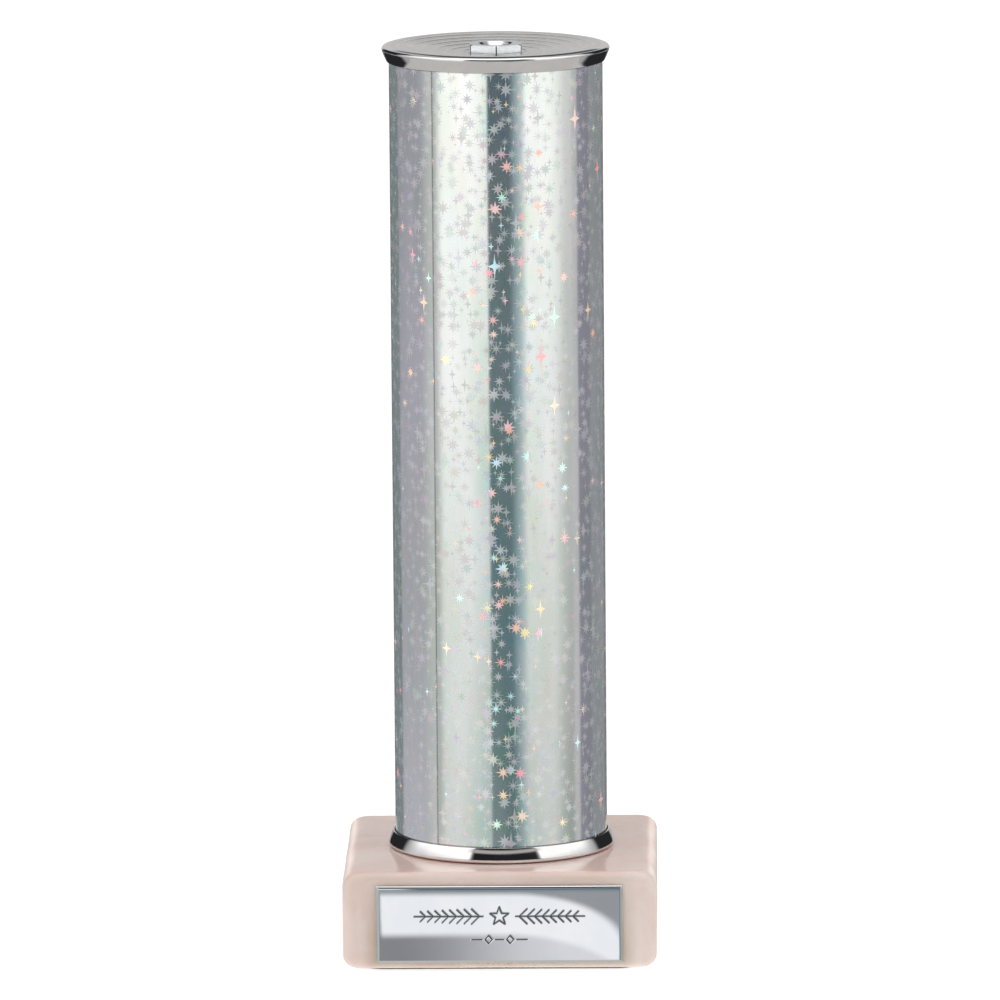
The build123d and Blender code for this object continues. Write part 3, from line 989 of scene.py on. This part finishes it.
def studio_light():
    """Plain studio seen by everything but the camera, which sees white. Behind the camera two tall soft boxes leave a
    dark gap between them. Grey and lilac sides, black flags behind, a pale card far back, a table and an overhead
    complete it. azimuth is 0 towards the camera and grows to the right. height is above the horizon."""
    world = bpy.data.worlds.new("studio")
    bpy.context.scene.world = world
    world.use_nodes = True
    g = Graph(world.node_tree)
    x, y, z = g.split(g.node("ShaderNodeTexCoord").outputs["Generated"])
    to_degrees = 180 / math.pi
    azimuth = g.times(g.math("ARCTAN2", x, g.times(y, -1.0)), to_degrees)
    height = g.times(g.math("ARCSINE", z), to_degrees)
    away = g.math("ABSOLUTE", azimuth)
    aside = g.away(azimuth, 5.0)

    def paint(share, colour):
        nonlocal light
        light = g.mix(share, light, colour)

    light = (0.38, 0.38, 0.39)
    flags = g.times(g.ramp(away, 112.0, 122.0), g.band(height, -34.0, 40.0, 4.0))
    paint(flags, (0.020, 0.020, 0.022))
    paint(g.times(g.ramp(away, 156.0, 164.0), g.band(height, -4.0, 60.0, 4.0)), (0.565, 0.56, 0.56))
    paint(g.times(g.ramp(away, 173.0, 175.5), g.band(height, 15.0, 33.0, 3.0)), (0.085, 0.085, 0.087))

    fade = g.ramp(height, -12.2, -6.9, 0.0, 1.0, smooth=False)
    glow = g.mix(fade, (0.46, 0.515, 0.505), (1.26, 1.26, 1.24))
    side_fall = g.times(g.ramp(azimuth, -84.0, -56.0, 0.60, 1.0), g.ramp(azimuth, 58.0, 86.0, 1.0, 0.58))
    glow = scaled(g, glow, side_fall)
    upper_glow = g.mix(g.ramp(height, 12.0, 26.0), (0.66, 0.66, 0.67), (1.15, 1.15, 1.14))
    upper_glow = g.mix(g.ramp(height, 42.0, 52.0), upper_glow, (1.38, 1.38, 1.36))
    upper_half = g.ramp(height, -5.0, -3.6)
    glow = g.mix(upper_half, glow, upper_glow)
    box_top = g.drop(height, 54.0, 64.0)
    upper_boxes = g.times(g.ramp(aside, 35.0, 39.0), g.drop(away, 97.0, 121.0), upper_half, box_top)
    lower_half = g.times(g.math("SUBTRACT", 1.0, upper_half), g.ramp(height, -23.0, -21.0))
    left_box = g.times(g.ramp(azimuth, -73.0, -60.0), g.drop(azimuth, -10.0, -7.8), lower_half)
    right_box = g.times(g.ramp(azimuth, 13.0, 34.0), g.drop(azimuth, 90.0, 95.0), lower_half)
    paint(g.math("MAXIMUM", upper_boxes, left_box), glow)
    paint(right_box, scaled(g, glow, g.ramp(fade, 0.0, 0.7, 0.86, 0.95)))

    strip = g.band(height, -13.5, -4.0, 1.5)
    edge_strip = g.band(height, -12.2, -5.0, 1.0)
    lilac = g.mix(fade, (0.46, 0.465, 0.52), (0.305, 0.295, 0.345))
    lilac = g.mix(g.ramp(azimuth, -92.0, -74.0), lilac, (0.52, 0.53, 0.53))
    paint(g.times(strip, g.band(azimuth, -134.0, -71.0, 5.0)), lilac)
    paint(g.times(edge_strip, g.band(azimuth, -159.0, -134.0, 4.0)), (0.185, 0.225, 0.24))
    paint(g.times(edge_strip, g.ramp(away, 157.0, 161.0)), (0.17, 0.18, 0.19))
    paint(g.times(strip, g.band(azimuth, 90.0, 98.5, 4.0)), (0.50, 0.50, 0.52))
    paint(g.times(strip, g.band(azimuth, 98.5, 119.0, 4.0)), (0.205, 0.205, 0.26))
    paint(g.times(edge_strip, g.band(azimuth, 119.0, 159.0, 4.0)), (0.26, 0.275, 0.30))

    soft_left = g.times(g.ramp(azimuth, -36.0, -8.0), g.drop(azimuth, -8.0, -7.0), lower_half)
    paint(g.times(soft_left, g.ramp(fade, 0.1, 0.8, 0.55, 0.12)), (0.20, 0.34, 0.34))
    gap = g.mix(fade, (0.02, 0.125, 0.15), (0.145, 0.175, 0.20))
    gap = g.mix(g.ramp(height, -7.5, -7.05), gap, (0.035, 0.040, 0.075))
    paint(g.times(g.ramp(azimuth, -9.2, -7.4), g.drop(azimuth, 13.0, 34.0), lower_half), gap)
    soft_right = g.times(g.band(azimuth, 18.0, 30.0, 10.0), lower_half)
    paint(g.times(soft_right, g.ramp(fade, 0.2, 0.8, 0.3, 0.5)), (0.30, 0.47, 0.53))
    block = g.times(g.drop(aside, 33.0, 40.0), g.band(height, 8.0, 54.0, 3.0))
    paint(block, (0.016, 0.016, 0.018))
    paint(g.times(g.drop(aside, 33.0, 46.0), g.band(height, 34.5, 39.5, 3.0)), (0.44, 0.42, 0.42))
    paint(g.times(g.drop(aside, 35.0, 40.0), g.ramp(height, 54.0, 57.0)), (1.42, 1.42, 1.41))

    window = g.times(g.band(azimuth, -13.0, 13.0, 3.0), g.band(height, -23.0, -11.9, 1.0))
    paint(window, (0.325, 0.335, 0.35))
    to_right = g.math("DIVIDE", g.math("MAXIMUM", azimuth, 0.0), 10.0)
    up_card = g.math("DIVIDE", g.math("ADD", height, 18.6), 6.4)
    from_middle = g.math("SQRT", g.math("ADD", g.times(to_right, to_right), g.times(up_card, up_card)))
    card = g.times(g.drop(from_middle, 0.90, 1.02), g.ramp(azimuth, -11.05, -10.75))
    paint(card, (0.92, 0.93, 0.95))
    shade_edge = g.math("MULTIPLY_ADD", g.times(to_right, to_right), -4.0, -16.5)
    shade = g.times(g.drop(g.math("SUBTRACT", height, shade_edge), -1.0, 0.0), window)
    paint(shade, g.mix(g.ramp(azimuth, -10.0, 6.0), (0.25, 0.255, 0.27), (0.72, 0.73, 0.76)))

    table_edge = g.ramp(away, 98.0, 112.0, -21.0, -30.0)
    table_edge = g.math("ADD", table_edge, g.ramp(azimuth, 98.0, 112.0, 0.0, -2.5))
    paint(g.drop(g.math("SUBTRACT", height, table_edge), -3.0, 0.0), (0.525, 0.51, 0.50))
    paint(g.ramp(height, 58.0, 68.0), (1.45, 1.45, 1.45))

    seen = g.node("ShaderNodeLightPath").outputs["Is Camera Ray"]
    background = g.node("ShaderNodeBackground", {"Color": g.mix(seen, light, (1.0, 1.0, 1.0)), "Strength": 1.0})
    g.node("ShaderNodeOutputWorld", {"Surface": background.outputs[0]})
    world.cycles.sampling_method = "MANUAL"
    world.cycles.sample_map_resolution = 1024


def studio_floor():
    """Plain pale table, far bigger than the picture."""
    half = 6.0
    mesh = bpy.data.meshes.new("studio_floor")
    z = cad_bounds[0].z - FINE
    mesh.from_pydata([(-half, -half, z), (half, -half, z), (half, half, z), (-half, half, z)], [], [(0, 1, 2, 3)])
    floor = bpy.data.objects.new("studio_floor", mesh)
    bpy.context.scene.collection.objects.link(floor)
    material, g = new_material("pale_table")
    inputs = {
        "Base Color": (0.60, 0.60, 0.60),
        "Roughness": 0.85,
        "Specular IOR Level": 0.1,
        "Emission Color": (1.0, 1.0, 1.0),
        "Emission Strength": 0.66,
    }
    finish(g, principled(g, inputs))
    mesh.materials.append(material)
    floor.visible_glossy = False


def camera():
    """Long lens, slightly above the trophy and a little to its right."""
    aim, distance = Vector((0.23 * MM, 0.0, 88.5 * MM)), 2184.0 * MM
    swing, dip, roll = math.radians(0.925), math.radians(9.322), math.radians(-0.43)
    turn = (
        Matrix.Rotation(swing, 4, "Z")
        @ Matrix.Rotation(math.pi / 2 - dip, 4, "X")
        @ Matrix.Rotation(roll, 4, "Z")
    )
    data = bpy.data.cameras.new("camera")
    data.sensor_width = 36.0
    data.lens = 399.8
    data.clip_start, data.clip_end = 0.05, 30.0
    seat = bpy.data.objects.new("camera", data)
    bpy.context.scene.collection.objects.link(seat)
    back = turn @ Vector((0, 0, 1))
    seat.matrix_world = Matrix.Translation(aim + back * distance) @ turn
    bpy.context.scene.camera = seat


# ---------------------------------------------------------------- assembly

chrome = chrome_material()
zinc = zinc_material()
NUT_TWIST = math.radians(2.5)
made = [
    (marble_base(), marble_material()),
    (felt_pad(), felt_material()),
    (cap("lower_cap_chrome", "lower_cap", -1), chrome),
    (cap("upper_cap_chrome", "upper_cap", 1), chrome),
    (core_tube(), styrene_material()),
    (star_film(), film_material()),
    (tie_rod(), zinc),
    (hex_nut("topper_nut", "top_nut", "top_nut", NUT_TWIST, head=1.56 * MM, proud=0.25 * MM), zinc),
    (washer("swaged_washer", "captive_washer", "captive_washer"), zinc),
    (hex_nut("hidden_nut", "base_nut", "base", 0.0), zinc),
    (washer("wide_washer", "base_washer", "base"), zinc),
    (foam_tape(), foam_material()),
    (engraving_plate(), plate_material()),
]
for piece, material in made:
    piece.data.materials.append(material)

studio_floor()
studio_light()
camera()
bpy.context.scene.view_settings.view_transform = "Standard"
